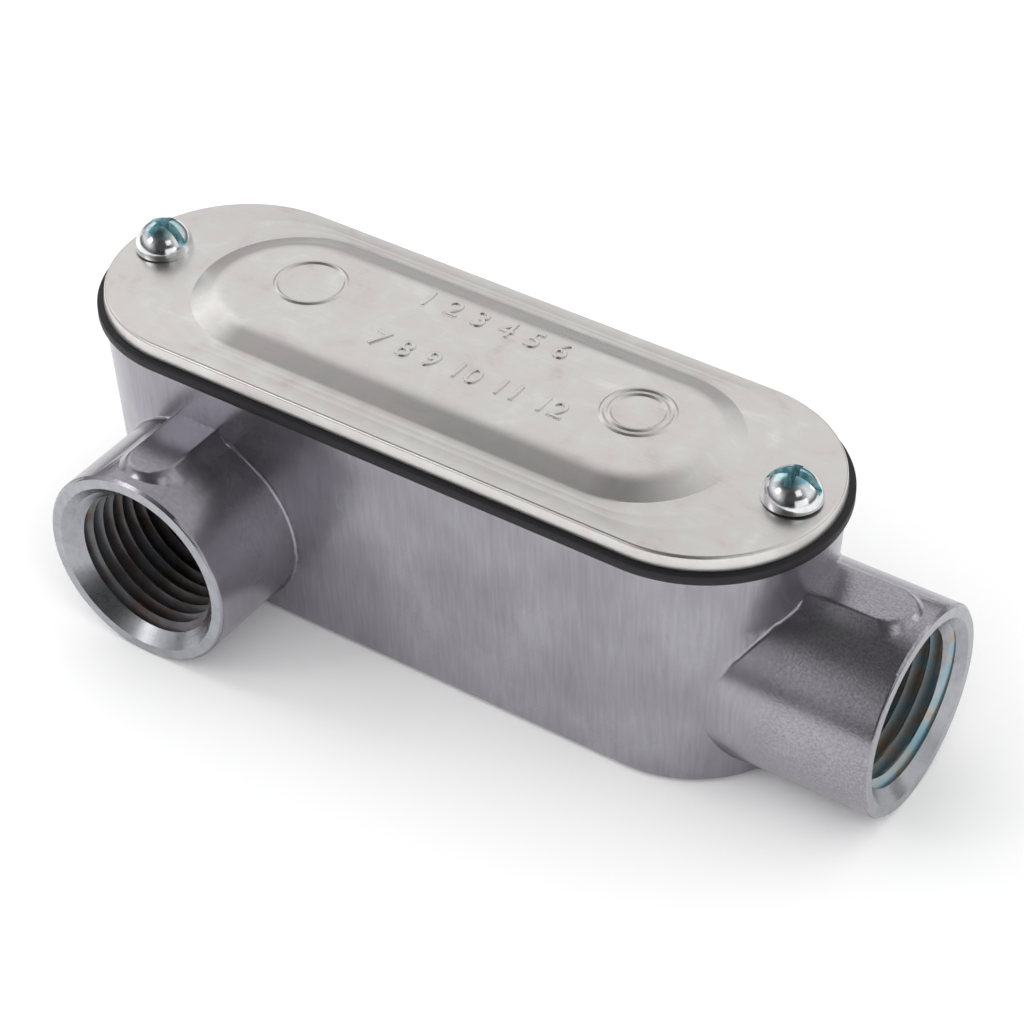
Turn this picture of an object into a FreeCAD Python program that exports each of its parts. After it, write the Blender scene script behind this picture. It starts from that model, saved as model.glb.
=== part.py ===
import FreeCAD, Part
import math
import os

import Sketcher

# A left-hand L-type conduit body for half-inch conduit, lying on its flat back.
# X runs along the oval body towards the end hub, -Y points out of the side hub and +Z out of
# the cover. The origin is the middle of the flat back. Sizes are millimetres or degrees.

SIZES = {
    # Oval die-cast body: half its straight length, its radius at the rim, and its sloped wall
    "oval_straight": 33.4,
    "rim_radius": 17.1,
    "rim_height": 33.4,
    "wall_draft": 3.4,
    "back_edge_chamfer": 0.8,
    "back_edge_slope": 45.0,
    "rim_edge_chamfer": 0.25,
    # Metal below the back that the flat is cut from
    "trim_stock": 3.0,
    # Cavity inside it, open under the cover
    "wall_thickness": 2.5,
    "cavity_draft": 2.8,
    "floor_thickness": 2.4,
    "floor_chamfer": 1.4,
    # Round hubs, each with a small flat where it meets the plane of the back
    "hub_radius": 13.4,
    "hub_flat_depth": 0.2,
    "hub_length": 13.3,
    "hub_root_chamfer": 0.4,
    "hub_root_margin": 1.0,
    "hub_edge_chamfer": 0.35,
    "side_hub_inset": 5.6,
    # Conduit bore in each hub, down to its smooth bushing stop
    "bore_radius": 10.7,
    "bore_depth": 15.0,
    "mouth_chamfer": 1.05,
    "throat_radius": 7.6,
    "throat_chamfer": 0.7,
    # Raised key on top of each hub, with sloping sides
    "key_rise": 0.75,
    "key_half_width": 3.1,
    "key_end_gap": 2.3,
    "key_slope": 45.0,
    "key_spread": 1.7,
    "key_edge_chamfer": 0.25,
    # Tapped bosses in the round ends, placed from the rim's ends
    "screw_inset": 5.2,
    "boss_radius": 3.9,
    "screw_hole_depth": 11.5,
    # Cover screws, with a slot and a cross in a domed head
    "thread_radius": 2.08,
    "thread_clearance": 0.04,
    "screw_length": 12.7,
    "screw_point": 0.6,
    "head_radius": 3.65,
    "head_side": 0.3,
    "head_height": 3.6,
    "slot_half_width": 0.55,
    "slot_depth": 2.2,
    "cross_half_width": 0.5,
    "cross_reach": 2.1,
    "cross_depth": 2.6,
    "left_screw_turn": 355.0,
    "right_screw_turn": 10.0,
    # Gasket, a little wider than the rim, with a web round each screw
    "gasket_thickness": 1.3,
    "gasket_overhang": 0.75,
    "gasket_width": 4.75,
    "gasket_web": 4.7,
    # Drawn sheet cover: turned-down skirt, border that rises inwards, and raised oval panel
    "cover_inset": 0.1,
    "sheet_thickness": 1.1,
    "skirt_height": 1.95,
    "bend_radius": 0.4,
    "border_lip": 0.15,
    "border_crown": 0.6,
    "panel_border": 4.15,
    "panel_end_border": 12.75,
    "panel_rise": 1.4,
    "panel_slope": 30.0,
    "panel_shoulder": 8.4,
    "screw_clearance": 0.35,
    # Angles of turned and drawn forms
    "right_angle": 90.0,
    "full_turn": 360.0,
}

# Sizes that follow from the ones above
DERIVED = {
    "stock_radius": "rim_radius - (rim_height + trim_stock) * tan(wall_draft)",
    "base_radius": "rim_radius - rim_height * tan(wall_draft)",
    "back_radius": "base_radius - back_edge_chamfer",
    "stock_height": "rim_height + trim_stock",
    "axis_height": "hub_radius - hub_flat_depth",
    "hub_run": "rim_radius + hub_length",
    "hub_gap_radius": "hub_radius + hub_root_margin",
    "hub_edge_low": "hub_radius - hub_edge_chamfer",
    "hub_edge_high": "hub_radius + hub_edge_chamfer",
    "hub_edge_run": "2 * hub_edge_chamfer",
    "end_mouth": "oval_straight + hub_run",
    "trim_radius": "end_mouth + hub_radius",
    "side_axis": "oval_straight - side_hub_inset",
    "cavity_radius": "rim_radius - wall_thickness",
    "mouth_radius": "bore_radius + mouth_chamfer",
    "key_top": "axis_height + hub_radius + key_rise",
    "key_drop": "key_rise + hub_radius - sqrt(hub_radius ^ 2 - (key_spread * key_half_width) ^ 2)",
    "key_foot_half_width": "key_half_width + key_drop * tan(key_slope)",
    "key_foot_gap": "key_end_gap - key_drop * tan(key_slope)",
    "key_straight": "hub_run / 2 - key_foot_gap - key_foot_half_width",
    "screw_place": "oval_straight + rim_radius - screw_inset",
    "screw_hole_radius": "thread_radius + thread_clearance",
    "clear_hole_radius": "thread_radius + screw_clearance",
    "slot_reach": "1.5 * head_radius",
    "dome_radius": "(head_radius ^ 2 + (head_height - head_side) ^ 2) / (head_height - head_side) / 2",
    "gasket_radius": "rim_radius + gasket_overhang",
    "gasket_top": "rim_height + gasket_thickness",
    "window_radius": "gasket_radius - gasket_width",
    "window_straight": "screw_place - gasket_web - window_radius",
    "cover_radius": "rim_radius - cover_inset",
    "rim_top": "gasket_top + skirt_height",
    "border_height": "rim_top + border_crown",
    "crown_radius": "cover_radius - bend_radius - border_lip",
    "pan_radius": "cover_radius - sheet_thickness",
    "pan_depth": "skirt_height - sheet_thickness",
    "panel_foot": "cover_radius - panel_border",
    "panel_straight": "oval_straight + cover_radius - panel_end_border - panel_foot",
    "pan_panel_foot": "panel_foot - sheet_thickness * tan(panel_slope / 2)",
    "pan_rim": "gasket_top + pan_depth",
    "pan_top": "pan_rim + border_crown",
    "pan_shoulder": "(panel_shoulder - sheet_thickness) * tan(panel_slope / 2)",
    "hole_depth": "skirt_height + border_crown",
    "crown_run": "oval_straight + crown_radius - panel_straight - panel_foot",
    "head_run": "oval_straight + crown_radius - screw_place + head_radius",
    "head_seat": "rim_top + border_crown * head_run / crown_run",
}

UP = FreeCAD.Vector(0, 0, 1)

doc = FreeCAD.newDocument("conduit_body")
sheet = doc.addObject("Spreadsheet::Sheet", "Sizes")
for row, (name, content) in enumerate({**SIZES, **DERIVED}.items(), 1):
    sheet.set("A%d" % row, name)
    sheet.setAlias("B%d" % row, name)
    sheet.set("B%d" % row, str(content) if name in SIZES else "=" + content)
doc.recompute()


def size(name):
    """The present value of a named size."""
    return float(sheet.get(name))


def bind(feature, **properties):
    """Tie properties of a feature to formulas of named sizes."""
    for prop, formula in properties.items():
        feature.setExpression(prop, formula)


def new_body(name):
    body = doc.addObject("PartDesign::Body", name)
    body.Label = name
    return body


def new_sketch(body, name, plane, turn=0, **moves):
    """A sketch on one of the body's own planes, turned on it and moved by formulas."""
    sketch = body.newObject("Sketcher::SketchObject", name)
    planes = {feature.Role: feature for feature in body.Origin.OriginFeatures}
    sketch.AttachmentSupport = [(planes[plane], "")]
    sketch.MapMode = "FlatFace"
    sketch.AttachmentOffset = FreeCAD.Placement(FreeCAD.Vector(), FreeCAD.Rotation(UP, turn))
    for axis, formula in moves.items():
        sketch.setExpression(".AttachmentOffset.Base." + axis, formula)
    doc.recompute()
    return sketch


def point(x, y):
    return FreeCAD.Vector(x, y, 0)


def link(sketch, kind, *where):
    sketch.addConstraint(Sketcher.Constraint(kind, *where))


def measure(sketch, kind, where, name):
    """A dimension of a sketch, bound to a named size."""
    number = sketch.addConstraint(Sketcher.Constraint(kind, *where, size(name)))
    sketch.setExpression("Constraints[%d]" % number, "Sizes." + name)


def draw_oval(sketch, straight, radius):
    """Two half circles joined by straight sides, centred on the sketch's origin."""
    half, r, first = size(straight), size(radius), sketch.GeometryCount
    quarter = math.pi / 2
    left, right, low, high = range(first, first + 4)
    sketch.addGeometry([Part.ArcOfCircle(Part.Circle(point(-half, 0), UP, r), quarter, 3 * quarter),
                        Part.ArcOfCircle(Part.Circle(point(half, 0), UP, r), -quarter, quarter),
                        Part.LineSegment(point(-half, -r), point(half, -r)),
                        Part.LineSegment(point(half, r), point(-half, r))])
    link(sketch, "Tangent", left, 2, low, 1)
    link(sketch, "Tangent", low, 2, right, 1)
    link(sketch, "Tangent", right, 2, high, 1)
    link(sketch, "Tangent", high, 2, left, 1)
    link(sketch, "Equal", left, right)
    link(sketch, "Symmetric", left, 3, right, 3, -1, 1)
    link(sketch, "PointOnObject", right, 3, -1)
    measure(sketch, "Radius", (right,), radius)
    measure(sketch, "DistanceX", (-1, 1, right, 3), straight)
    doc.recompute()


def draw_circle(sketch, radius):
    circle = sketch.addGeometry(Part.Circle(point(0, 0), UP, size(radius)))
    link(sketch, "Coincident", circle, 3, -1, 1)
    measure(sketch, "Radius", (circle,), radius)
    doc.recompute()


def draw_bar(sketch, half_length, half_width):
    """A rectangle centred on the sketch's origin."""
    x, y = size(half_length), size(half_width)
    corners = [point(-x, -y), point(x, -y), point(x, y), point(-x, y)]
    sides = [Part.LineSegment(a, b) for a, b in zip(corners, corners[1:] + corners[:1])]
    low, right, high, left = sketch.addGeometry(sides)
    for before, line in ((left, low), (low, right), (right, high), (high, left)):
        link(sketch, "Coincident", before, 2, line, 1)
    link(sketch, "Horizontal", low)
    link(sketch, "Vertical", right)
    link(sketch, "Horizontal", high)
    link(sketch, "Symmetric", low, 1, high, 1, -1, 1)
    measure(sketch, "DistanceX", (-1, 1, high, 1), half_length)
    measure(sketch, "DistanceY", (-1, 1, high, 1), half_width)
    doc.recompute()


def draw_dome(sketch):
    """Half the section of a screw's domed head, on the sketch's upright axis."""
    side, top, edge = size("head_side"), size("head_height"), size("head_radius")
    r = size("dome_radius")
    middle = top - r
    dome = Part.ArcOfCircle(Part.Circle(point(0, middle), UP, r),
                            math.atan2(side - middle, edge), math.pi / 2)
    arc, axis, base = sketch.addGeometry([dome, Part.LineSegment(point(0, top), point(0, side)),
                                          Part.LineSegment(point(0, side), point(edge, side))])
    link(sketch, "Coincident", arc, 2, axis, 1)
    link(sketch, "Coincident", axis, 2, base, 1)
    link(sketch, "Coincident", base, 2, arc, 1)
    link(sketch, "Horizontal", base)
    for spot in ((arc, 3), (axis, 1), (axis, 2)):
        link(sketch, "PointOnObject", *spot, -2)
    measure(sketch, "DistanceX", (-1, 1, base, 2), "head_radius")
    measure(sketch, "DistanceY", (-1, 1, base, 2), "head_side")
    measure(sketch, "DistanceY", (-1, 1, axis, 1), "head_height")
    doc.recompute()


def draw_screw_circles(sketch, radius):
    """A circle at each screw's place along the body."""
    for side in (-1, 1):
        circle = sketch.addGeometry(Part.Circle(point(side * size("screw_place"), 0), UP,
                                                size(radius)))
        ends = (-1, 1, circle, 3) if side > 0 else (circle, 3, -1, 1)
        link(sketch, "PointOnObject", circle, 3, -1)
        measure(sketch, "Radius", (circle,), radius)
        measure(sketch, "DistanceX", ends, "screw_place")
    doc.recompute()


def draw_outline(sketch, corners, way=1):
    """A closed outline of straight lines. Its corners are named distances from the sketch's
    origin, None for zero, and the first of each pair runs backwards where way is -1."""
    places = [point(way * size(x) if x else 0, size(y) if y else 0) for x, y in corners]
    sides = [Part.LineSegment(a, b) for a, b in zip(places, places[1:] + places[:1])]
    lines = sketch.addGeometry(sides)
    for before, line, (x, y) in zip(lines[-1:] + lines[:-1], lines, corners):
        link(sketch, "Coincident", before, 2, line, 1)
        if x:
            measure(sketch, "DistanceX", (-1, 1, line, 1) if way > 0 else (line, 1, -1, 1), x)
        if y:
            measure(sketch, "DistanceY", (-1, 1, line, 1), y)
        if x and not y:
            link(sketch, "PointOnObject", line, 1, -1)
        if y and not x:
            link(sketch, "PointOnObject", line, 1, -2)
        if not x and not y:
            link(sketch, "Coincident", line, 1, -1, 1)
    doc.recompute()


def extrude(body, kind, name, sketch, length, slope=None, reverse=False):
    """A Pad or Pocket of a sketch whose length, and slope where it has one, are formulas."""
    feature = body.newObject("PartDesign::" + kind, name)
    feature.Profile = sketch
    feature.Reversed = reverse
    bind(feature, Length=length)
    if slope:
        bind(feature, TaperAngle=slope)
    doc.recompute()
    return feature


def find_edges(shape, test):
    """Names of the edges all of whose sampled points pass a test."""
    return ["Edge%d" % number for number, edge in enumerate(shape.Edges, 1)
            if all(test(spot) for spot in edge.discretize(9))]


def soften(body, kind, name, width, test):
    """A Fillet or Chamfer on those edges of the body so far that pass a test."""
    base = body.Tip
    feature = body.newObject("PartDesign::" + kind, name)
    feature.Base = (base, find_edges(base.Shape, test))
    bind(feature, **{"Radius" if kind == "Fillet" else "Size": width})
    doc.recompute()
    return feature


def loft(body, kind, name, first, last):
    """A straight-ruled loft between two ovals, each a height, a half straight and a radius."""
    ends = []
    for end, (height, straight, radius) in (("start", first), ("end", last)):
        ends.append(new_sketch(body, "%s_%s" % (name, end), "XY_Plane", z="Sizes." + height))
        draw_oval(ends[-1], straight, radius)
    feature = body.newObject("PartDesign::" + kind, name)
    feature.Profile = ends[0]
    feature.Sections = [ends[1]]
    feature.Ruled = True
    doc.recompute()


def cut_away(body, name, tool):
    """Take the solid of another body away from a body."""
    feature = body.newObject("PartDesign::Boolean", name)
    feature.setObjects([tool])
    feature.Type = "Cut"
    doc.recompute()


def same(value, target):
    return abs(value - target) < 0.01


# Housing: one aluminium die casting. Its sloped wall and its two hubs are blended into each
# other first, and the flat back is cut afterwards.
housing = new_body("housing")

wall_outline = new_sketch(housing, "wall_outline", "XY_Plane", z="-Sizes.trim_stock")
draw_oval(wall_outline, "oval_straight", "stock_radius")
extrude(housing, "Pad", "wall", wall_outline, "Sizes.stock_height", "Sizes.wall_draft")

HUBS = {
    # Plane of the hub's mouth and its move on that plane
    "side": ("XZ_Plane", {"x": "-Sizes.side_axis", "y": "Sizes.axis_height", "z": "Sizes.hub_run"}),
    "end": ("YZ_Plane", {"y": "Sizes.axis_height", "z": "Sizes.end_mouth"}),
}
for hub, (plane, moves) in HUBS.items():
    hub_outline = new_sketch(housing, hub + "_hub_outline", plane, -90, **moves)
    draw_circle(hub_outline, "hub_radius")
    extrude(housing, "Pad", hub + "_hub", hub_outline, "Sizes.hub_run", reverse=True)


def hub_distances(spot):
    """How far a point is from the axis of the side hub and from that of the end hub."""
    height = spot.z - size("axis_height")
    return math.hypot(spot.x + size("side_axis"), height), math.hypot(spot.y, height)


def on_hub(spot):
    """Whether a point lies on the round wall of a hub."""
    side_way, end_way = hub_distances(spot)
    on_side = same(side_way, size("hub_radius")) and spot.y < 0
    return on_side or (same(end_way, size("hub_radius")) and spot.x > size("oval_straight"))


def on_wall(spot):
    """Whether a point lies on the sloped wall of the body."""
    past_straight = max(abs(spot.x) - size("oval_straight"), 0)
    slope = math.tan(math.radians(size("wall_draft")))
    return same(math.hypot(past_straight, spot.y), size("base_radius") + spot.z * slope)


def at_mouth(spot):
    return same(spot.y, -size("hub_run")) or same(spot.x, size("end_mouth"))


soften(housing, "Chamfer", "hub_roots", "Sizes.hub_root_chamfer",
       lambda spot: on_hub(spot) and not at_mouth(spot))


# The flat back is cut from the stock, and its edge is broken all round except under the hubs
trim_outline = new_sketch(housing, "trim_outline", "XY_Plane")
draw_circle(trim_outline, "trim_radius")
extrude(housing, "Pocket", "flat_back", trim_outline, "Sizes.trim_stock")

edge_cutter = new_body("edge_cutter")
cutter_outline = new_sketch(edge_cutter, "cutter_outline", "XY_Plane")
draw_circle(cutter_outline, "trim_radius")
extrude(edge_cutter, "Pad", "cutter_plate", cutter_outline, "Sizes.back_edge_chamfer")
cutter_opening = new_sketch(edge_cutter, "cutter_opening", "XY_Plane")
draw_oval(cutter_opening, "oval_straight", "back_radius")
extrude(edge_cutter, "Pocket", "cutter_hole", cutter_opening, "Sizes.back_edge_chamfer",
        "Sizes.back_edge_slope", reverse=True)
for hub, (plane, moves) in HUBS.items():
    gap_outline = new_sketch(edge_cutter, hub + "_gap_outline", plane, **moves)
    draw_circle(gap_outline, "hub_gap_radius")
    extrude(edge_cutter, "Pocket", hub + "_gap", gap_outline, "Sizes.hub_run")
cut_away(housing, "back_edge", edge_cutter)

# A key with sloping sides lies along the top of each hub, from the wall to short of the mouth
KEYS = {
    "side": (90, {"x": "-Sizes.side_axis", "y": "-Sizes.hub_run / 2"}),
    "end": (0, {"x": "Sizes.end_mouth - Sizes.hub_run / 2"}),
}
for hub, (turn, moves) in KEYS.items():
    key_outline = new_sketch(housing, hub + "_key_outline", "XY_Plane", turn,
                             z="Sizes.key_top - Sizes.key_drop", **moves)
    draw_oval(key_outline, "key_straight", "key_foot_half_width")
    extrude(housing, "Pad", hub + "_key", key_outline, "Sizes.key_drop", "-Sizes.key_slope")


def past_wall(spot):
    return spot.y < -size("rim_radius") or spot.x > size("oval_straight") + size("rim_radius")


soften(housing, "Chamfer", "key_edges", "Sizes.key_edge_chamfer",
       lambda spot: same(spot.z, size("key_top")) and (past_wall(spot) or not on_wall(spot)))

# The cavity is left by a core that is open at the rim and passes round a boss for each screw.
# The right boss stops above the end hub's throat.
core = new_body("cavity_core")
core_outline = new_sketch(core, "core_outline", "XY_Plane", z="Sizes.rim_height")
draw_oval(core_outline, "oval_straight", "cavity_radius")
extrude(core, "Pad", "core_block", core_outline, "Sizes.rim_height - Sizes.floor_thickness",
        "-Sizes.cavity_draft", reverse=True)
soften(core, "Chamfer", "floor_edge", "Sizes.floor_chamfer",
       lambda spot: same(spot.z, size("floor_thickness")))
BOSSES = {"left": ("-Sizes.screw_place", "Sizes.rim_height"),
          "right": ("Sizes.screw_place", "Sizes.rim_height - Sizes.axis_height")}
for side, (place, length) in BOSSES.items():
    boss_outline = new_sketch(core, side + "_boss_outline", "XY_Plane", x=place,
                              z="Sizes.rim_height")
    draw_circle(boss_outline, "boss_radius")
    extrude(core, "Pocket", side + "_boss", boss_outline, length)
cut_away(housing, "cavity", core)

# Each hub is turned out to a chamfered bore, a stop with a smaller throat, and a broken outer edge
BORE = [(None, None), (None, "mouth_radius"), ("mouth_chamfer", "bore_radius"),
        ("bore_depth", "bore_radius"), ("bore_depth", "throat_radius"),
        ("hub_run", "throat_radius"), ("hub_run", None)]
OUTER_EDGE = [(None, "hub_edge_low"), ("hub_edge_run", "hub_edge_high"), (None, "hub_edge_high")]
TURNED = {
    "side": ("YZ_Plane", 1,
             {"x": "-Sizes.hub_run", "y": "Sizes.axis_height", "z": "-Sizes.side_axis"}),
    "end": ("XZ_Plane", -1, {"x": "Sizes.end_mouth", "y": "Sizes.axis_height"}),
}
for hub, (plane, way, moves) in TURNED.items():
    for cut, corners in (("bore", BORE), ("edge", OUTER_EDGE)):
        section = new_sketch(housing, "%s_%s_section" % (hub, cut), plane, **moves)
        draw_outline(section, corners, way)
        groove = housing.newObject("PartDesign::Groove", "%s_%s" % (hub, cut))
        groove.Profile = section
        groove.ReferenceAxis = (section, ["H_Axis"])
        bind(groove, Angle="Sizes.full_turn")
        doc.recompute()


def on_stop_edge(spot):
    """Whether a point lies on the inner edge of a bushing stop."""
    side_way, end_way = hub_distances(spot)
    depth = size("bore_depth")
    on_side = same(side_way, size("throat_radius")) and same(spot.y, depth - size("hub_run"))
    return on_side or (same(end_way, size("throat_radius"))
                       and same(spot.x, size("end_mouth") - depth))


soften(housing, "Chamfer", "stop_edges", "Sizes.throat_chamfer", on_stop_edge)

screw_holes = new_sketch(housing, "screw_hole_outline", "XY_Plane", z="Sizes.rim_height")
draw_screw_circles(screw_holes, "screw_hole_radius")
extrude(housing, "Pocket", "screw_holes", screw_holes, "Sizes.screw_hole_depth")
soften(housing, "Chamfer", "rim_edge", "Sizes.rim_edge_chamfer",
       lambda spot: same(spot.z, size("rim_height")) and on_wall(spot))

# Gasket: a flat rubber oval with one window and a hole for each screw
gasket = new_body("gasket")
gasket_outline = new_sketch(gasket, "gasket_outline", "XY_Plane", z="Sizes.rim_height")
draw_oval(gasket_outline, "oval_straight", "gasket_radius")
draw_oval(gasket_outline, "window_straight", "window_radius")
draw_screw_circles(gasket_outline, "clear_hole_radius")
extrude(gasket, "Pad", "sheet", gasket_outline, "Sizes.gasket_thickness")

# Cover: drawn from sheet, so its hollow underside follows its raised panel and its bent skirt.
# The bend is tight and is drawn as a narrow bevel
cover = new_body("cover")
border_outline = new_sketch(cover, "border_outline", "XY_Plane", z="Sizes.gasket_top")
draw_oval(border_outline, "oval_straight", "cover_radius")
extrude(cover, "Pad", "border", border_outline, "Sizes.skirt_height")
soften(cover, "Chamfer", "rim_bend", "Sizes.bend_radius",
       lambda spot: same(spot.z, size("rim_top")))
loft(cover, "AdditiveLoft", "crown", ("rim_top", "oval_straight", "crown_radius"),
     ("border_height", "panel_straight", "panel_foot"))
panel_outline = new_sketch(cover, "panel_outline", "XY_Plane", z="Sizes.border_height")
draw_oval(panel_outline, "panel_straight", "panel_foot")
extrude(cover, "Pad", "panel", panel_outline, "Sizes.panel_rise",
        "Sizes.panel_slope - Sizes.right_angle")
soften(cover, "Fillet", "panel_round", "Sizes.panel_shoulder",
       lambda spot: same(spot.z, size("border_height") + size("panel_rise")))
pan_outline = new_sketch(cover, "pan_outline", "XY_Plane", z="Sizes.gasket_top")
draw_oval(pan_outline, "oval_straight", "pan_radius")
extrude(cover, "Pocket", "pan", pan_outline, "Sizes.pan_depth", reverse=True)
loft(cover, "SubtractiveLoft", "pan_crown", ("pan_rim", "oval_straight", "pan_radius"),
     ("pan_top", "panel_straight", "pan_panel_foot"))
hollow_outline = new_sketch(cover, "hollow_outline", "XY_Plane", z="Sizes.pan_top")
draw_oval(hollow_outline, "panel_straight", "pan_panel_foot")
extrude(cover, "Pocket", "panel_hollow", hollow_outline, "Sizes.panel_rise",
        "Sizes.panel_slope - Sizes.right_angle", reverse=True)
soften(cover, "Chamfer", "hollow_edge", "Sizes.pan_shoulder",
       lambda spot: same(spot.z, size("pan_top") + size("panel_rise")))
cover_holes = new_sketch(cover, "cover_hole_outline", "XY_Plane", z="Sizes.border_height")
draw_screw_circles(cover_holes, "clear_hole_radius")
extrude(cover, "Pocket", "cover_holes", cover_holes, "Sizes.hole_depth")

# Cover screws: alike but for their places and the way their slots point
SCREWS = {"cover_screw_left": ("-Sizes.screw_place", "Sizes.left_screw_turn"),
          "cover_screw_right": ("Sizes.screw_place", "Sizes.right_screw_turn")}
for name, (place, turn) in SCREWS.items():
    screw = new_body(name)
    screw.Placement = FreeCAD.Placement(point(0, 0), FreeCAD.Rotation(UP, 1))
    screw.setExpression(".Placement.Base.x", place)
    screw.setExpression(".Placement.Base.z", "Sizes.head_seat")
    screw.setExpression(".Placement.Rotation.Angle", turn)

    shank_outline = new_sketch(screw, name + "_shank_outline", "XY_Plane")
    draw_circle(shank_outline, "thread_radius")
    extrude(screw, "Pad", name + "_shank", shank_outline, "Sizes.screw_length", reverse=True)
    soften(screw, "Chamfer", name + "_point", "Sizes.screw_point",
           lambda spot: same(spot.z, -size("screw_length")))
    head_outline = new_sketch(screw, name + "_head_outline", "XY_Plane")
    draw_circle(head_outline, "head_radius")
    extrude(screw, "Pad", name + "_head", head_outline, "Sizes.head_side")
    dome_outline = new_sketch(screw, name + "_dome_outline", "XZ_Plane")
    draw_dome(dome_outline)
    dome = screw.newObject("PartDesign::Revolution", name + "_dome")
    dome.Profile = dome_outline
    dome.ReferenceAxis = (dome_outline, ["V_Axis"])
    bind(dome, Angle="Sizes.full_turn")
    doc.recompute()

    slot_outline = new_sketch(screw, name + "_slot_outline", "XY_Plane", z="Sizes.head_height")
    draw_bar(slot_outline, "slot_reach", "slot_half_width")
    extrude(screw, "Pocket", name + "_slot", slot_outline, "Sizes.slot_depth")
    for arm, arm_turn in (("long", 0), ("cross", 90)):
        arm_outline = new_sketch(screw, "%s_%s_outline" % (name, arm), "XY_Plane", arm_turn,
                                 z="Sizes.head_height")
        draw_bar(arm_outline, "cross_reach", "cross_half_width")
        extrude(screw, "Pocket", "%s_%s_arm" % (name, arm), arm_outline, "Sizes.cross_depth")

doc.recompute()
os.makedirs("parts", exist_ok=True)
for feature in doc.Objects:
    if "Invalid" in feature.State or "Error" in feature.State:
        raise RuntimeError("%s is not valid: %s" % (feature.Name, feature.State))
for name in ("housing", "gasket", "cover", *SCREWS):
    body = doc.getObject(name)
    if body.Shape.isNull() or not body.Shape.isValid() or len(body.Shape.Solids) != 1:
        raise RuntimeError("%s has no single valid solid" % name)
    body.Shape.exportStep("parts/%s.step" % body.Label)
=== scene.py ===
import math

import bmesh
import bpy
from mathutils import Matrix, Vector


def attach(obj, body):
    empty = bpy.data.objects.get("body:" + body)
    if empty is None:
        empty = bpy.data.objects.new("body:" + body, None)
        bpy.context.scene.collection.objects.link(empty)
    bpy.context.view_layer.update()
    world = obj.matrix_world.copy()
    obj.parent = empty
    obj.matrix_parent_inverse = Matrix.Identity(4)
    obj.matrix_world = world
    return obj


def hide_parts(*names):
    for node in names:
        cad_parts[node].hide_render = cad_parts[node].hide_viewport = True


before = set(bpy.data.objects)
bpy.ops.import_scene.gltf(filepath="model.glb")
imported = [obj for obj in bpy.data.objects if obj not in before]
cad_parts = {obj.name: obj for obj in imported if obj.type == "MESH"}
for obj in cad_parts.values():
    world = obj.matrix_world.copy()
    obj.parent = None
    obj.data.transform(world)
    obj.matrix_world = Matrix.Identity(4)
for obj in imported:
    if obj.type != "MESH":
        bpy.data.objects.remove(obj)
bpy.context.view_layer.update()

# Housing
# One aluminium die casting, left bare and slightly glossy as it comes from the mould.
# The hub mouths and bores are turned afterwards, which leaves them lighter and cleaner.
mm = 0.001
hub_height = 13.2 * mm
side_axis = -27.8 * mm
side_mouth = -30.4 * mm
end_mouth = 63.8 * mm
turned_radius = 13.06 * mm
turned_depth = 15.1 * mm
bore_reach = 10.8 * mm
mouth_bevel = 1 * mm
key_foot = 24 * mm
key_reach = 9 * mm
past_side_wall = -17.7 * mm
past_end_wall = 50.7 * mm


def colour(text):
    """A linear colour from an sRGB hex value."""
    parts = [int(text[i:i + 2], 16) / 255 for i in (1, 3, 5)]
    return [p / 12.92 if p <= 0.04045 else ((p + 0.055) / 1.055) ** 2.4 for p in parts] + [1]


def new_material(name):
    material = bpy.data.materials.new(name)
    material.use_nodes = True
    return material, material.node_tree.nodes["Principled BSDF"]


def add_node(material, kind, settings=None, values=None, links=None):
    """A node with its settings, its socket values, and links from other nodes' outputs."""
    node = material.node_tree.nodes.new(kind)
    for key, value in (settings or {}).items():
        setattr(node, key, value)
    for key, value in (values or {}).items():
        node.inputs[key].default_value = value
    for key, output in (links or {}).items():
        material.node_tree.links.new(output, node.inputs[key])
    return node


def join(material, output, target):
    material.node_tree.links.new(output, target)


def ramp_stops(ramp, stops):
    """Sets the colours of a ramp from pairs of a place and a hex value."""
    band = ramp.color_ramp
    while len(band.elements) > len(stops):
        band.elements.remove(band.elements[-1])
    while len(band.elements) < len(stops):
        band.elements.new(1)
    for element, (place, text) in zip(band.elements, stops):
        element.position = place
        element.color = colour(text)


# Bare die-cast aluminium: the mould's draw marks run down the walls as fine streaks, and a
# cloudy skin changes the gloss from place to place. The end hub is grainy instead, and its
# grain is drawn at 0.28 mm, as coarse as it needs to be to show.
cast, cast_shader = new_material("die_cast_aluminium")
where = add_node(cast, "ShaderNodeTexCoord")
down = add_node(cast, "ShaderNodeMapping", values={"Scale": (1, 1, 0.07)},
                links={"Vector": where.outputs["Object"]})
streaks = add_node(cast, "ShaderNodeTexNoise", values={"Scale": 1 / (0.5 * mm), "Detail": 2},
                   links={"Vector": down.outputs[0]})
clouds = add_node(cast, "ShaderNodeTexNoise", values={"Scale": 1 / (12 * mm), "Detail": 3},
                  links={"Vector": where.outputs["Object"]})
grain = add_node(cast, "ShaderNodeTexNoise", values={"Scale": 1 / (0.28 * mm), "Detail": 0},
                 links={"Vector": where.outputs["Object"]})
place = add_node(cast, "ShaderNodeSeparateXYZ", links={"Vector": where.outputs["Object"]})
on_end = add_node(cast, "ShaderNodeMapRange", values={"From Min": 47 * mm, "From Max": 52 * mm},
                  links={"Value": place.outputs["X"]})
lined = add_node(cast, "ShaderNodeMath", {"operation": "MULTIPLY_ADD"}, {1: -0.35, 2: 0.35},
                 {0: on_end.outputs[0]})
skin = add_node(cast, "ShaderNodeMix", {"data_type": "FLOAT"},
                links={"Factor": lined.outputs[0], "A": clouds.outputs["Fac"],
                       "B": streaks.outputs["Fac"]})
speckled = add_node(cast, "ShaderNodeMath", {"operation": "MULTIPLY"}, {1: 0.55},
                    {0: on_end.outputs[0]})
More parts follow.
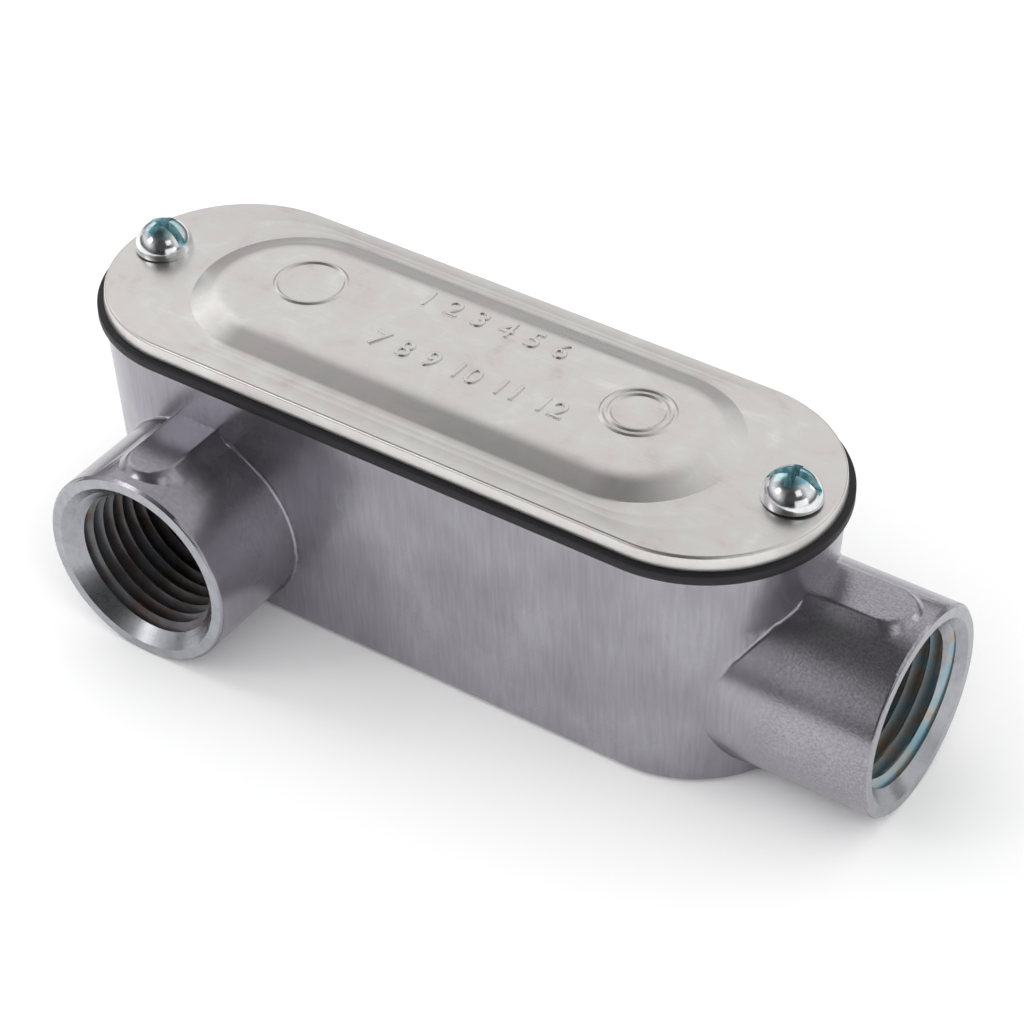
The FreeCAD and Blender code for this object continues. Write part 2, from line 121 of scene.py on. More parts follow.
flecks = add_node(cast, "ShaderNodeMix", {"data_type": "FLOAT"},
                  links={"Factor": speckled.outputs[0], "A": skin.outputs[0], "B": grain.outputs["Fac"]})
tint = add_node(cast, "ShaderNodeValToRGB", links={"Fac": flecks.outputs[0]})
ramp_stops(tint, [(0.35, "#8F8C93"), (0.65, "#A6A4AB")])
gloss = add_node(cast, "ShaderNodeMapRange", values={"From Min": 0.3, "From Max": 0.7,
                                                     "To Min": 0.22, "To Max": 0.29},
                 links={"Value": clouds.outputs["Fac"]})
grainy = add_node(cast, "ShaderNodeMath", {"operation": "MULTIPLY"}, {1: 0.07},
                  {0: on_end.outputs[0]})
drawn = add_node(cast, "ShaderNodeMath", {"operation": "MULTIPLY_ADD"}, {1: -0.1, 2: 0.1},
                 {0: on_end.outputs[0]})
lines = add_node(cast, "ShaderNodeBump", values={"Distance": 0.04 * mm},
                 links={"Height": streaks.outputs["Fac"], "Strength": drawn.outputs[0]})
relief = add_node(cast, "ShaderNodeBump", values={"Distance": 0.1 * mm},
                  links={"Height": grain.outputs["Fac"], "Strength": grainy.outputs[0],
                         "Normal": lines.outputs[0]})
join(cast, tint.outputs[0], cast_shader.inputs["Base Color"])
join(cast, gloss.outputs[0], cast_shader.inputs["Roughness"])
join(cast, relief.outputs[0], cast_shader.inputs["Normal"])
cast_shader.inputs["Metallic"].default_value = 0.95

# Turned aluminium: freshly cut and lighter, with a faintly cloudy gloss.
turned, turned_shader = new_material("turned_aluminium")
turned_shader.inputs["Metallic"].default_value = 1
where = add_node(turned, "ShaderNodeTexCoord")
marks = add_node(turned, "ShaderNodeTexNoise", values={"Scale": 1 / (1.5 * mm), "Detail": 3},
                 links={"Vector": where.outputs["Object"]})
tint = add_node(turned, "ShaderNodeValToRGB", links={"Fac": marks.outputs["Fac"]})
ramp_stops(tint, [(0.3, "#9C9DA2"), (0.7, "#AAABB0")])
gloss = add_node(turned, "ShaderNodeMapRange", values={"To Min": 0.24, "To Max": 0.32},
                 links={"Value": marks.outputs["Fac"]})
join(turned, tint.outputs[0], turned_shader.inputs["Base Color"])
join(turned, gloss.outputs[0], turned_shader.inputs["Roughness"])

# Threaded bores: the same metal, filmed with the tap's cutting oil. The film is brown in the
# side hub and thinner and cooler in the end hub.
oiled, oiled_shader = new_material("oiled_cut_aluminium")
oiled_shader.inputs["Metallic"].default_value = 0.75
where = add_node(oiled, "ShaderNodeTexCoord")
marks = add_node(oiled, "ShaderNodeTexNoise", values={"Scale": 1 / (4 * mm), "Detail": 3},
                 links={"Vector": where.outputs["Object"]})
brown = add_node(oiled, "ShaderNodeValToRGB", links={"Fac": marks.outputs["Fac"]})
ramp_stops(brown, [(0.38, "#5E5450"), (0.5, "#6A6668"), (0.62, "#6C7074")])
cool = add_node(oiled, "ShaderNodeValToRGB", links={"Fac": marks.outputs["Fac"]})
ramp_stops(cool, [(0.36, "#B09C86"), (0.48, "#A9AFAF"), (0.6, "#8FB0BC")])
place = add_node(oiled, "ShaderNodeSeparateXYZ", links={"Vector": where.outputs["Object"]})
in_end = add_node(oiled, "ShaderNodeMath", {"operation": "GREATER_THAN"}, {1: 40 * mm},
                  {0: place.outputs["X"]})
film = add_node(oiled, "ShaderNodeMix", {"data_type": "RGBA"},
                links={0: in_end.outputs[0], 6: brown.outputs[0], 7: cool.outputs[0]})
join(oiled, film.outputs[2], oiled_shader.inputs["Base Color"])
gloss = add_node(oiled, "ShaderNodeMapRange", values={"To Min": 0.28, "To Max": 0.42},
                 links={"Value": marks.outputs["Fac"]})
join(oiled, gloss.outputs[0], oiled_shader.inputs["Roughness"])


def copy_node(node, name):
    """A merged copy of a CAD node, shown in its place."""
    bpy.ops.object.select_all(action="DESELECT")
    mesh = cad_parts[node].data.copy()
    piece = bpy.data.objects.new(name, mesh)
    bpy.context.scene.collection.objects.link(piece)
    bpy.context.view_layer.objects.active = piece
    piece.select_set(True)
    bpy.ops.mesh.customdata_custom_splitnormals_clear()
    bpy.ops.object.mode_set(mode="EDIT")
    bpy.ops.mesh.select_all(action="SELECT")
    bpy.ops.mesh.remove_doubles(threshold=0.002 * mm)
    bpy.ops.object.mode_set(mode="OBJECT")
    mesh.materials.clear()
    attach(piece, "root")
    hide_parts(node)
    return piece


def finish_of(centre):
    """Whether a face of the housing is cast, turned on a mouth, or within a bore."""
    side_way = math.hypot(centre.x - side_axis, centre.z - hub_height)
    end_way = math.hypot(centre.y, centre.z - hub_height)
    side_depth, end_depth = centre.y - side_mouth, end_mouth - centre.x
    for way, depth in ((side_way, side_depth), (end_way, end_depth)):
        if way < turned_radius and depth < turned_depth:
            return 2 if way < bore_reach and depth > mouth_bevel else 1
    return 0


housing = copy_node("housing", "housing_casting")
for finish in (cast, turned, oiled):
    housing.data.materials.append(finish)
for face in housing.data.polygons:
    face.material_index = finish_of(face.center)
bpy.ops.object.shade_smooth_by_angle(angle=math.radians(48))

# The keys' edges and the turned faces' edges stay crisp
bpy.ops.object.mode_set(mode="EDIT")
bpy.ops.mesh.select_mode(type="EDGE")
bpy.ops.mesh.select_all(action="DESELECT")
net = bmesh.from_edit_mesh(housing.data)
for edge in net.edges:
    spot = (edge.verts[0].co + edge.verts[1].co) / 2
    by_side_key = spot.y < past_side_wall and abs(spot.x - side_axis) < key_reach
    by_end_key = spot.x > past_end_wall and abs(spot.y) < key_reach
    crisp = spot.z > key_foot and (by_side_key or by_end_key) or finish_of(spot) > 0
    edge.select_set(crisp and edge.calc_face_angle(0) > math.radians(30))
bmesh.update_edit_mesh(housing.data)
bpy.ops.mesh.mark_sharp()
bpy.ops.object.mode_set(mode="OBJECT")
weights = housing.modifiers.new("weights", "WEIGHTED_NORMAL")
weights.keep_sharp = True
weights.weight = 90
bpy.ops.object.modifier_apply(modifier="weights")

# Hub threads
# The right-hand conduit thread tapped in each bore, 14 turns to the inch, narrowing inwards.
# Its ridges stand in from the plain bore, and the mouth's bevel cuts their ends back.
bore_radius = 10.7 * mm
mouth_edge = 11.7 * mm
thread_pitch = 25.4 / 14 * mm
thread_turns = 9.2
thread_start = -1.4 * mm
ridge_foot = 0.88 * mm
ridge_crest = 0.1 * mm
crest_radius = 9.55 * mm
thread_narrowing = 0.42 * mm


def select_by_place(piece, test):
    """In edit mode, selects the points of a piece whose place passes a test."""
    bpy.ops.mesh.select_mode(type="VERT")
    bpy.ops.mesh.select_all(action="DESELECT")
    net = bmesh.from_edit_mesh(piece.data)
    for vertex in net.verts:
        if test(vertex.co):
            vertex.select_set(True)
    net.select_flush(True)
    bmesh.update_edit_mesh(piece.data)


def turn_normals_out():
    bpy.ops.mesh.select_all(action="SELECT")
    bpy.ops.mesh.remove_doubles(threshold=0.0015 * mm)
    bpy.ops.mesh.normals_make_consistent(inside=False)
    bpy.ops.object.mode_set(mode="OBJECT")


def cut_thread(name, mouth, turn):
    """A helical ridge on Z that ends at the mouth above, then turned and moved to its hub."""
    length = thread_pitch * thread_turns
    deep_end = -length - thread_start
    deep_crest = crest_radius - thread_narrowing
    bpy.ops.object.select_all(action="DESELECT")
    bpy.ops.mesh.primitive_plane_add(size=1 * mm, location=(bore_radius - 0.45 * mm, 0, deep_end),
                                     rotation=(math.pi / 2, 0, 0))
    ridge = bpy.context.object
    ridge.name = name
    bpy.ops.object.transform_apply(location=True, rotation=True, scale=True)
    bpy.ops.object.mode_set(mode="EDIT")
    middle = (0, 0, deep_end)
    bpy.ops.mesh.select_all(action="SELECT")
    bpy.ops.transform.resize(value=(1, 1, 2 * ridge_foot / mm), center_override=middle)
    select_by_place(ridge, lambda spot: spot.x < bore_radius - 0.5 * mm)
    bpy.ops.transform.resize(value=(1, 1, ridge_crest / ridge_foot), center_override=middle)
    bpy.ops.transform.translate(value=(deep_crest - bore_radius + 0.95 * mm, 0, 0))
    bpy.ops.mesh.select_all(action="SELECT")
    bpy.ops.mesh.delete(type="ONLY_FACE")
    bpy.ops.object.mode_set(mode="OBJECT")
    wind = ridge.modifiers.new("wind", "SCREW")
    wind.angle = 2 * math.pi * thread_turns
    wind.screw_offset = length
    wind.steps = wind.render_steps = int(72 * thread_turns)
    bpy.ops.object.modifier_apply(modifier="wind")
    bpy.ops.object.mode_set(mode="EDIT")
    bpy.ops.mesh.select_all(action="DESELECT")
    bpy.ops.mesh.select_non_manifold()
    bpy.ops.mesh.edge_face_add()
    wider = 1 + thread_narrowing / thread_turns / deep_crest
    for step in range(int(thread_turns)):
        low = deep_end + step * thread_pitch
        select_by_place(ridge, lambda spot: spot.z > low and math.hypot(spot.x, spot.y) < 10.2 * mm)
        bpy.ops.transform.resize(value=(wider, wider, 1), center_override=(0, 0, 0))
    turn_normals_out()

    bpy.ops.object.select_all(action="DESELECT")
    bpy.ops.mesh.primitive_cone_add(vertices=96, radius1=mouth_edge - 3 * mm,
                                    radius2=mouth_edge + 3 * mm, depth=6 * mm, location=(0, 0, 0))
    tool = bpy.context.object
    bpy.ops.object.select_all(action="DESELECT")
    bpy.context.view_layer.objects.active = ridge
    ridge.select_set(True)
    cut = ridge.modifiers.new("mouth_chamfer", "BOOLEAN")
    cut.operation = "DIFFERENCE"
    cut.solver = "EXACT"
    cut.object = tool
    bpy.ops.object.modifier_apply(modifier="mouth_chamfer")
    bpy.data.objects.remove(tool)
    ridge.data.materials.clear()
    for finish in (oiled, crests, turned):
        ridge.data.materials.append(finish)
    for face in ridge.data.polygons:
        out = math.hypot(face.center.x, face.center.y)
        if abs(out - mouth_edge - face.center.z) < 0.05 * mm:
            face.material_index = 2
        else:
            face.material_index = int(abs(face.normal.z) < 0.3 and out < 10.4 * mm)
    ridge.rotation_euler = turn
    ridge.location = mouth
    bpy.ops.object.transform_apply(location=True, rotation=True, scale=True)
    bpy.ops.object.shade_smooth_by_angle(angle=math.radians(40))
    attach(ridge, "root")


# Thread crests: the same cut metal, rubbed a little brighter than the flanks.
crests, crest_shader = new_material("rubbed_thread_crest")
crest_shader.inputs["Metallic"].default_value = 1
where = add_node(crests, "ShaderNodeTexCoord")
marks = add_node(crests, "ShaderNodeTexNoise", values={"Scale": 1 / (1.2 * mm), "Detail": 3},
                 links={"Vector": where.outputs["Object"]})
tint = add_node(crests, "ShaderNodeValToRGB", links={"Fac": marks.outputs["Fac"]})
ramp_stops(tint, [(0.3, "#827C80"), (0.7, "#A19EA4")])
gloss = add_node(crests, "ShaderNodeMapRange", values={"To Min": 0.25, "To Max": 0.45},
                 links={"Value": marks.outputs["Fac"]})
join(crests, tint.outputs[0], crest_shader.inputs["Base Color"])
join(crests, gloss.outputs[0], crest_shader.inputs["Roughness"])

cut_thread("side_hub_thread", (side_axis, side_mouth, hub_height), (math.pi / 2, 0, 0))
cut_thread("end_hub_thread", (end_mouth, 0, hub_height), (0, math.pi / 2, 0))

# Gasket
# A flat ring of black rubber between rim and cover. It stands out a little past the cover
# all round, with soft cut edges and a matt face.
oval_straight = 33.4
window_straight = 27.5
screw_place = 45.3 * mm
screw_hole = 2.43 * mm


def turn_profile(name, profile, segments=144):
    """A round ring turned on Z from pairs of a radius and a height in millimetres."""
    bpy.ops.object.select_all(action="DESELECT")
    radius, height = profile[0]
    bpy.ops.mesh.primitive_circle_add(vertices=segments, radius=radius * mm,
                                      location=(0, 0, height * mm),
                                      rotation=(0, 0, math.pi / segments))
    piece = bpy.context.object
    piece.name = name
    bpy.ops.object.transform_apply(location=True, rotation=True, scale=True)
    bpy.ops.object.mode_set(mode="EDIT")
    bpy.ops.mesh.select_all(action="SELECT")
    for next_radius, next_height in profile[1:]:
        bpy.ops.mesh.extrude_edges_move(
            TRANSFORM_OT_translate={"value": (0, 0, (next_height - height) * mm)})
        factor = next_radius / radius
        bpy.ops.transform.resize(value=(factor, factor, 1), center_override=(0, 0, 0))
        radius, height = next_radius, next_height
    bpy.ops.object.mode_set(mode="OBJECT")
    return piece


def stretch(piece, straights):
    """Moves the halves of a turned ring apart, each ring of points by its own half straight.

    The straights are keyed by the radius and height of a ring in millimetres.
    """
    bpy.ops.object.mode_set(mode="EDIT")
    for straight in sorted(set(straights.values())):
        rings = {ring for ring, value in straights.items() if value == straight}
        for way in (-1, 1):
            def on_half(spot):
                radius, height = math.hypot(spot.x, spot.y) / mm, spot.z / mm
                near = any(abs(radius - ring[0]) + abs(height - ring[1]) < 0.004 for ring in rings)
                return spot.x * way > 0 and near
            select_by_place(piece, on_half)
            bpy.ops.transform.translate(value=(way * straight * mm, 0, 0))
    bpy.ops.object.mode_set(mode="OBJECT")


def drill(piece, places, radius, low, high):
    """Cuts round holes through a piece along Z."""
    for place in places:
        bpy.ops.object.select_all(action="DESELECT")
        bpy.ops.mesh.primitive_cylinder_add(vertices=64, radius=radius, depth=high - low,
                                            location=(place, 0, (low + high) / 2))
        tool = bpy.context.object
        bpy.ops.object.select_all(action="DESELECT")
        bpy.context.view_layer.objects.active = piece
        piece.select_set(True)
        cut = piece.modifiers.new("hole", "BOOLEAN")
        cut.operation = "DIFFERENCE"
        cut.solver = "EXACT"
        cut.object = tool
        bpy.ops.object.modifier_apply(modifier="hole")
        bpy.data.objects.remove(tool)


# Black neoprene: cut from a moulded sheet, matt, with a faint fabric-like grain.
rubber, rubber_shader = new_material("black_neoprene")
rubber_shader.inputs["Base Color"].default_value = colour("#18171B")
rubber_shader.inputs["Specular IOR Level"].default_value = 0.35
rubber_shader.inputs["IOR"].default_value = 1.5
where = add_node(rubber, "ShaderNodeTexCoord")
grain = add_node(rubber, "ShaderNodeTexNoise", values={"Scale": 1 / (0.35 * mm), "Detail": 2},
                 links={"Vector": where.outputs["Object"]})
gloss = add_node(rubber, "ShaderNodeMapRange", values={"To Min": 0.45, "To Max": 0.65},
                 links={"Value": grain.outputs["Fac"]})
relief = add_node(rubber, "ShaderNodeBump", values={"Strength": 0.2, "Distance": 0.05 * mm},
                  links={"Height": grain.outputs["Fac"]})
join(rubber, gloss.outputs[0], rubber_shader.inputs["Roughness"])
join(rubber, relief.outputs[0], rubber_shader.inputs["Normal"])

gasket_profile = [(13.1, 34.7), (17.7, 34.7), (17.81, 34.65), (17.85, 34.55), (17.85, 33.55),
                  (17.81, 33.45), (17.7, 33.4), (13.1, 33.4), (13.1, 34.7)]
gasket = turn_profile("rubber_gasket", gasket_profile)
stretch(gasket, {ring: window_straight if ring[0] < 14 else oval_straight for ring in gasket_profile})
bpy.ops.object.mode_set(mode="EDIT")
turn_normals_out()
drill(gasket, (-screw_place, screw_place), screw_hole, 33 * mm, 35 * mm)
bpy.ops.object.shade_smooth_by_angle(angle=math.radians(50))
gasket.data.materials.append(rubber)
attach(gasket, "root")
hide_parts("gasket")

# Cover
# Bright aluminium sheet, drawn in a press: a narrow turned-down skirt, a border that rises to the
# foot of a raised oval panel, and a soft shoulder round the panel's flat top.
panel_straight, panel_foot, panel_top = 24.8, 12.85, 38.65
panel_slope = 0.384
border_edge, border_low, border_high = 16.45, 36.65, 37.25


def arc(centre, radius, first, last, steps):
    """Points of an arc in a section, angles in degrees from straight out towards up."""
    turns = [math.radians(first + (last - first) * i / steps) for i in range(steps + 1)]
    return [(centre[0] + radius * math.cos(t), centre[1] + radius * math.sin(t)) for t in turns]


def border(radius, lift=0):
    """A ring of the border, which widens from the panel's oval to the cover's.

    It gives the ring's radius, height and half straight.
    """
    way = (radius - panel_foot) / (border_edge - panel_foot)
    return (radius, border_high + (border_low - border_high) * way + lift,
            panel_straight + (oval_straight - panel_straight) * way)


def beside(points, straight):
    """The same half straight for each point of a section."""
    return [(radius, height, straight) for radius, height in points]


cover_rings = (
    beside(arc((8.05, panel_top - 6.22), 6.22, 90, 69, 10)
           + [(radius, border_high + (panel_foot - radius) * panel_slope)
              for radius in (11.1, 12.0, 12.55, 12.75)], panel_straight)
    + [border(12.95, 0.02), border(13.1, 0.004), border(13.6), border(13.72, 0.012), border(13.84),
       border(14.5), border(14.6, 0.01), border(14.7), border(15.6), border(16.45)]
    + beside([(16.5, 36.648)] + arc((16.44, 36.25), 0.4, 75, 4, 6)
             + [(17.0, 34.8), (16.93, 34.72), (16.85, 34.7), (15.9, 34.7), (15.9, 35.55)], oval_straight)
    + beside([(12.555, 36.15)] + arc((8.174, 30.25), 7.3, 60, 90, 6), panel_straight))

# Rolled aluminium sheet: a cloudy, smeared gloss with a faintly warm cast. The rolling lines along
# it are drawn at 0.3 mm, as coarse as they need to be to show.
sheet, sheet_shader = new_material("rolled_aluminium_sheet")
sheet_shader.inputs["Metallic"].default_value = 1
where = add_node(sheet, "ShaderNodeTexCoord")
along = add_node(sheet, "ShaderNodeMapping", values={"Scale": (0.04, 1, 1)},
                 links={"Vector": where.outputs["Object"]})
rolling = add_node(sheet, "ShaderNodeTexNoise", values={"Scale": 1 / (0.3 * mm), "Detail": 3},
                   links={"Vector": along.outputs[0]})
smears = add_node(sheet, "ShaderNodeTexNoise",
                  values={"Scale": 1 / (6 * mm), "Detail": 6, "Roughness": 0.65, "Distortion": 0.6},
                  links={"Vector": where.outputs["Object"]})
skin = add_node(sheet, "ShaderNodeMix", {"data_type": "FLOAT"}, {"Factor": 0.22},
                {"A": smears.outputs["Fac"], "B": rolling.outputs["Fac"]})
tint = add_node(sheet, "ShaderNodeValToRGB", links={"Fac": skin.outputs[0]})
ramp_stops(tint, [(0.3, "#CAC4C2"), (0.44, "#D6D0CF"), (0.5, "#D4D1CE"), (0.56, "#D5D4D1"),
                  (0.7, "#E0DCDB")])
gloss = add_node(sheet, "ShaderNodeMapRange", values={"From Min": 0.32, "From Max": 0.68,
                                                      "To Min": 0.38, "To Max": 0.26},
                 links={"Value": skin.outputs[0]})
relief = add_node(sheet, "ShaderNodeBump", values={"Strength": 0.04, "Distance": 0.03 * mm},
                  links={"Height": rolling.outputs["Fac"]})
waves = add_node(sheet, "ShaderNodeBump", values={"Strength": 0.07, "Distance": 0.1 * mm},
                 links={"Height": smears.outputs["Fac"], "Normal": relief.outputs[0]})
join(sheet, tint.outputs[0], sheet_shader.inputs["Base Color"])
join(sheet, gloss.outputs[0], sheet_shader.inputs["Roughness"])
join(sheet, waves.outputs[0], sheet_shader.inputs["Normal"])

cover = turn_profile("drawn_cover", [ring[:2] for ring in cover_rings], 180)
bpy.ops.object.mode_set(mode="EDIT")
bpy.ops.mesh.select_all(action="DESELECT")
bpy.ops.mesh.select_mode(type="EDGE")
bpy.ops.mesh.select_non_manifold()
bpy.ops.mesh.edge_face_add()
bpy.ops.object.mode_set(mode="OBJECT")
stretch(cover, {ring[:2]: ring[2] for ring in cover_rings})
bpy.ops.object.mode_set(mode="EDIT")
turn_normals_out()
drill(cover, (-screw_place, screw_place), screw_hole, 34 * mm, 39 * mm)
bpy.ops.object.shade_smooth_by_angle(angle=math.radians(14))
cover.data.materials.append(sheet)
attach(cover, "root")
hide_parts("cover")

# Cover markings
# Pressed up from the sheet with a blunt punch: a ring near each end of the panel, the right one
# double, and two rows of plain numbers like those on a dial between them.
for number, (place, radius) in enumerate(((-23.6, 4.35), (23.7, 4.35), (23.7, 3.45))):
    crown = [(-0.4, -0.1), (-0.4, -0.01), (-0.3, 0.03), (-0.2, 0.11), (-0.1, 0.18), (0, 0.2),
             (0.1, 0.18), (0.2, 0.11), (0.3, 0.03), (0.4, -0.01), (0.4, -0.1), (-0.4, -0.1)]
    ring = turn_profile("embossed_ring_%d" % (number + 1),
                        [(radius + across, panel_top + up) for across, up in crown], 96)
    bpy.ops.object.mode_set(mode="EDIT")
    bpy.ops.mesh.select_all(action="SELECT")
    bpy.ops.transform.translate(value=(place * mm, 1.85 * mm, 0))
    turn_normals_out()
    bpy.ops.object.shade_smooth_by_angle(angle=math.radians(50))
    ring.data.materials.append(sheet)
    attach(ring, "root")

for row, (figures, place) in enumerate((("1  2  3  4  5  6", (-10.6, 5.5)),
                                        ("7  8  9  10  11  12", (-11.0, -4.4)))):
    bpy.ops.object.select_all(action="DESELECT")
    bpy.ops.object.text_add(location=(0, 0, 0))
    numbers = bpy.context.object
    numbers.name = "embossed_numbers_%d" % (row + 1)
    numbers.data.body = figures
    numbers.data.size = 4.3 * mm
    numbers.data.space_word = 0.72
    numbers.data.extrude = 0.09 * mm
    numbers.data.offset = -0.04 * mm
    numbers.data.bevel_depth = 0.09 * mm
    numbers.data.bevel_resolution = 2
    numbers.data.resolution_u = 6
    bpy.ops.object.convert(target="MESH")
    bpy.ops.object.mode_set(mode="EDIT")
    bpy.ops.mesh.select_all(action="SELECT")
    bpy.ops.transform.translate(value=(place[0] * mm, place[1] * mm, panel_top * mm))
    turn_normals_out()
    bpy.ops.object.shade_smooth_by_angle(angle=math.radians(60))
    numbers.data.materials.clear()
    numbers.data.materials.append(sheet)
    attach(numbers, "root")

# Cover screws
# Zinc-plated steel machine screws with a domed head, a slot and a cross. The plating is
# mirror-bright, and its clear blue finish gathers in the recess.
recess_bottom, recess_top = 38.1 * mm, 40.3 * mm
# Bright zinc plating: a mirror gloss over a slightly dented head, bluer towards its crown.
zinc, zinc_shader = new_material("zinc_plated_steel")
zinc_shader.inputs["Metallic"].default_value = 1
where = add_node(zinc, "ShaderNodeTexCoord")
patches = add_node(zinc, "ShaderNodeTexNoise", values={"Scale": 1 / (1.6 * mm), "Detail": 3},
                   links={"Vector": where.outputs["Object"]})
spot = add_node(zinc, "ShaderNodeSeparateXYZ", links={"Vector": where.outputs["Object"]})
upper = add_node(zinc, "ShaderNodeMapRange", values={"From Min": 39.3 * mm, "From Max": 40.3 * mm,
                                                     "To Min": 0.35, "To Max": -0.05},
                 links={"Value": spot.outputs["Z"]})
shade = add_node(zinc, "ShaderNodeMath", {"operation": "ADD"}, {},
                 {0: patches.outputs["Fac"], 1: upper.outputs[0]})
tint = add_node(zinc, "ShaderNodeValToRGB", links={"Fac": shade.outputs[0]})
ramp_stops(tint, [(0.4, "#7FB4BE"), (0.52, "#B4D0D4"), (0.62, "#C6CDD0"), (0.85, "#E2E4E6")])
join(zinc, tint.outputs[0], zinc_shader.inputs["Base Color"])
dimples = add_node(zinc, "ShaderNodeBump", values={"Strength": 0.35, "Distance": 0.08 * mm},
                   links={"Height": patches.outputs["Fac"]})
join(zinc, dimples.outputs[0], zinc_shader.inputs["Normal"])
zinc_shader.inputs["Roughness"].default_value = 0.14

# Blue-passivated zinc: the clear blue film where it gathers, in the slot and the cross.
blue, blue_shader = new_material("blue_passivated_zinc")
blue_shader.inputs["Metallic"].default_value = 0.6
blue_shader.inputs["Roughness"].default_value = 0.35
where = add_node(blue, "ShaderNodeTexCoord")
patches = add_node(blue, "ShaderNodeTexNoise", values={"Scale": 1 / (0.9 * mm), "Detail": 3},
                   links={"Vector": where.outputs["Object"]})
tint = add_node(blue, "ShaderNodeValToRGB", links={"Fac": patches.outputs["Fac"]})
ramp_stops(tint, [(0.35, "#6FA3B0"), (0.5, "#9CCBD0"), (0.65, "#CFE6E6")])
join(blue, tint.outputs[0], blue_shader.inputs["Base Color"])

for side in ("left", "right"):
    screw = copy_node("cover_screw_" + side, "screw_" + side)
    for finish in (zinc, blue):
        screw.data.materials.append(finish)
    for face in screw.data.polygons:
        recess_wall = face.center.z > recess_bottom and abs(face.normal.z) < 0.02
        recess_floor = recess_bottom < face.center.z < recess_top and face.normal.z > 0.999
        face.material_index = int(recess_wall or recess_floor)
    bpy.ops.object.shade_smooth_by_angle(angle=math.radians(35))

# Studio
# A plain white sweep under soft light. The metal sees a bright backdrop behind the part, a
# darker ceiling, two dark patches on the near side and overhead, and a few dim soft boxes.
bpy.ops.object.select_all(action="DESELECT")
bpy.ops.mesh.primitive_plane_add(size=1.4, location=(0, 0, 0))
floor = bpy.context.object
floor.name = "floor"
paper, paper_shader = new_material("white_paper")
paper_shader.inputs["Base Color"].default_value = colour("#FFFFFF")
paper_shader.inputs["Roughness"].default_value = 0.9
paper_shader.inputs["Specular IOR Level"].default_value = 0.1
floor.data.materials.append(paper)

world = bpy.data.worlds.new("studio")
bpy.context.scene.world = world
world.use_nodes = True
background = world.node_tree.nodes["Background"]
where = add_node(world, "ShaderNodeTexCoord")
parts = add_node(world, "ShaderNodeSeparateXYZ", links={"Vector": where.outputs["Generated"]})
height = add_node(world, "ShaderNodeValToRGB", links={"Fac": parts.outputs["Z"]})
ramp_stops(height, [(0.0, "#626262"), (0.1, "#7E7E7E"), (0.3, "#F0F0F0"), (0.5, "#FFFFFF"),
                    (0.8, "#F4F4F4"), (0.92, "#CACACA"), (1.0, "#A8A8A8")])
seen = height
for direction, low, high, dark in (((0.50, -0.745, 0.44), 0.55, 0.88, 0.06),
                                   ((-0.28, -0.30, 0.91), 0.76, 0.97, 0.14)):
    toward = add_node(world, "ShaderNodeVectorMath", {"operation": "DOT_PRODUCT"},
                      {1: direction}, {0: where.outputs["Generated"]})
    depth = add_node(world, "ShaderNodeMapRange", values={"From Min": low, "From Max": high,
                                                          "To Min": 1.0, "To Max": dark},
                     links={"Value": toward.outputs["Value"]})
    seen = add_node(world, "ShaderNodeVectorMath", {"operation": "SCALE"},
                    links={0: seen.outputs[0], "Scale": depth.outputs[0]})
rays = add_node(world, "ShaderNodeLightPath")
plain = add_node(world, "ShaderNodeMix", {"data_type": "VECTOR"},
                 {4: colour("#F8F8F8")[:3], 5: colour("#FFFFFF")[:3]},
                 {"Factor": rays.outputs["Is Camera Ray"]})
shown = add_node(world, "ShaderNodeMix", {"data_type": "VECTOR"},
                 links={"Factor": rays.outputs["Is Glossy Ray"], 4: plain.outputs[1]})
join(world, seen.outputs[0], shown.inputs[5])
join(world, shown.outputs[1], background.inputs["Color"])

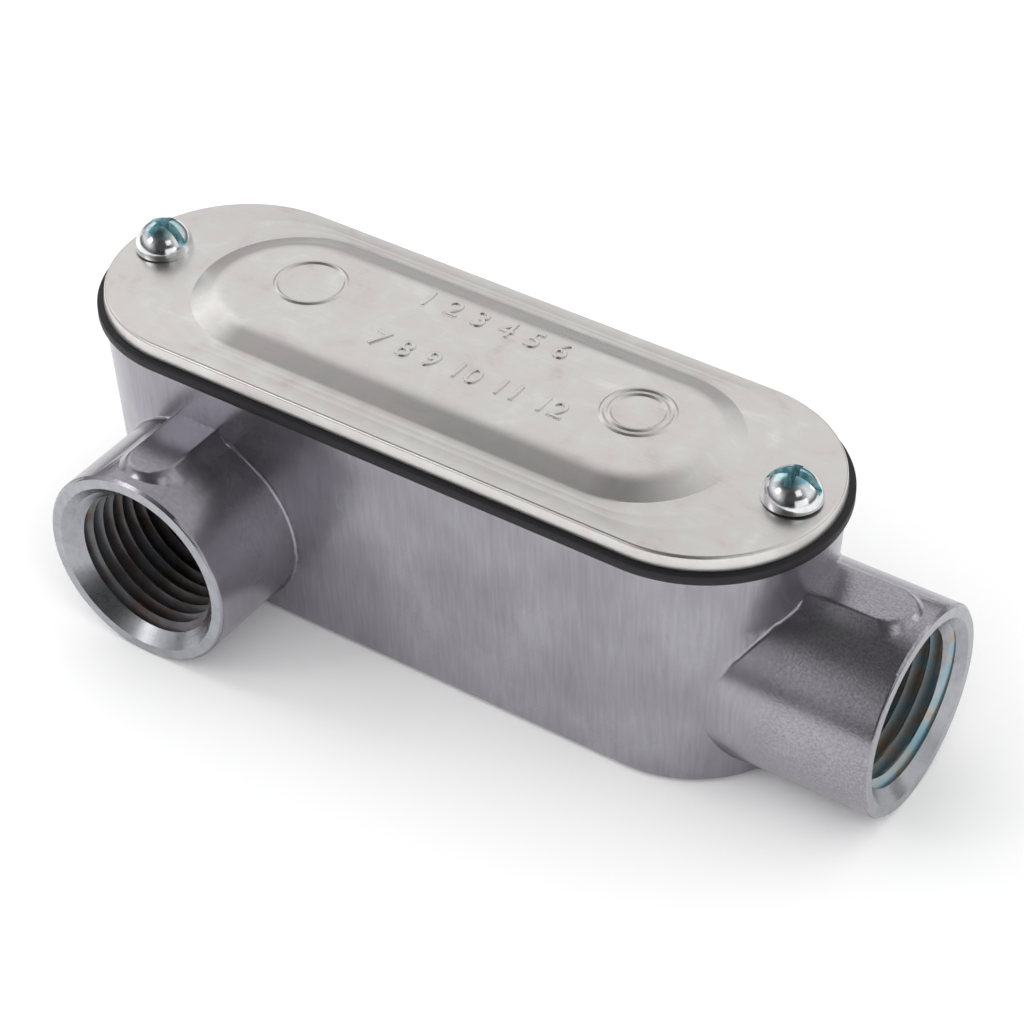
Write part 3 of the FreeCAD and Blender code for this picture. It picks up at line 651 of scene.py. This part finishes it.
for name, place, aim, size, power, mirrored in (
        ("left_box", (-0.76, 0.2, 0.62), (0, 0, 0.02), (0.5, 0.5), 0.3, True),
        ("right_box", (0.85, -0.42, 0.2), (0, 0, 0.02), (0.8, 0.4), 1.0, True),
        ("left_low_box", (-0.95, 0.12, 0.08), (0, 0, 0.02), (0.25, 0.15), 0.1, True),
        ("front_left_box", (-0.5, -0.58, 0.58), (0, 0, 0.02), (0.26, 0.26), 0.7, True),
        ("front_right_box", (0.6, -0.32, 0.73), (0, 0, 0.02), (0.35, 0.35), 0.4, True),
        ("back_right_box", (0.64, 0.64, 0.43), (0, 0, 0.02), (0.3, 0.3), 0.25, True),
        ("left_floor_wash", (-0.26, -0.05, 0.18), (-0.1, -0.02, 0), (0.12, 0.12), 0.16, False),
        ("right_floor_wash", (0.2, -0.15, 0.2), (0.08, -0.05, 0), (0.12, 0.12), 0.05, False)):
    lamp = bpy.data.lights.new(name, "AREA")
    lamp.shape = "RECTANGLE"
    lamp.size, lamp.size_y = size
    lamp.energy = power
    holder = bpy.data.objects.new(name, lamp)
    bpy.context.scene.collection.objects.link(holder)
    holder.location = place
    holder.rotation_euler = (Vector(aim) - Vector(place)).to_track_quat("-Z", "Y").to_euler()
    holder.visible_glossy = mirrored

# Camera
# At the photograph's angle, distance and frame.
azimuth, elevation, roll = math.radians(34.012), math.radians(39.600), math.radians(-0.415)
target = Vector((3.162, 5.921, 11.464)) * mm
back = Vector((math.sin(azimuth) * math.cos(elevation), -math.cos(azimuth) * math.cos(elevation),
               math.sin(elevation)))
right = Vector((math.cos(azimuth), math.sin(azimuth), 0))
upward = back.cross(right)
right, upward = (math.cos(roll) * right + math.sin(roll) * upward,
                 -math.sin(roll) * right + math.cos(roll) * upward)
lens = bpy.data.cameras.new("photo_view")
lens.lens = 104.54
lens.sensor_width = 36
camera = bpy.data.objects.new("photo_view", lens)
bpy.context.scene.collection.objects.link(camera)
turn = Matrix((right, upward, back)).transposed().to_4x4()
camera.matrix_world = Matrix.Translation(target + back * 373.618 * mm) @ turn
bpy.context.scene.camera = camera

scene = bpy.context.scene
scene.view_settings.view_transform = "Standard"
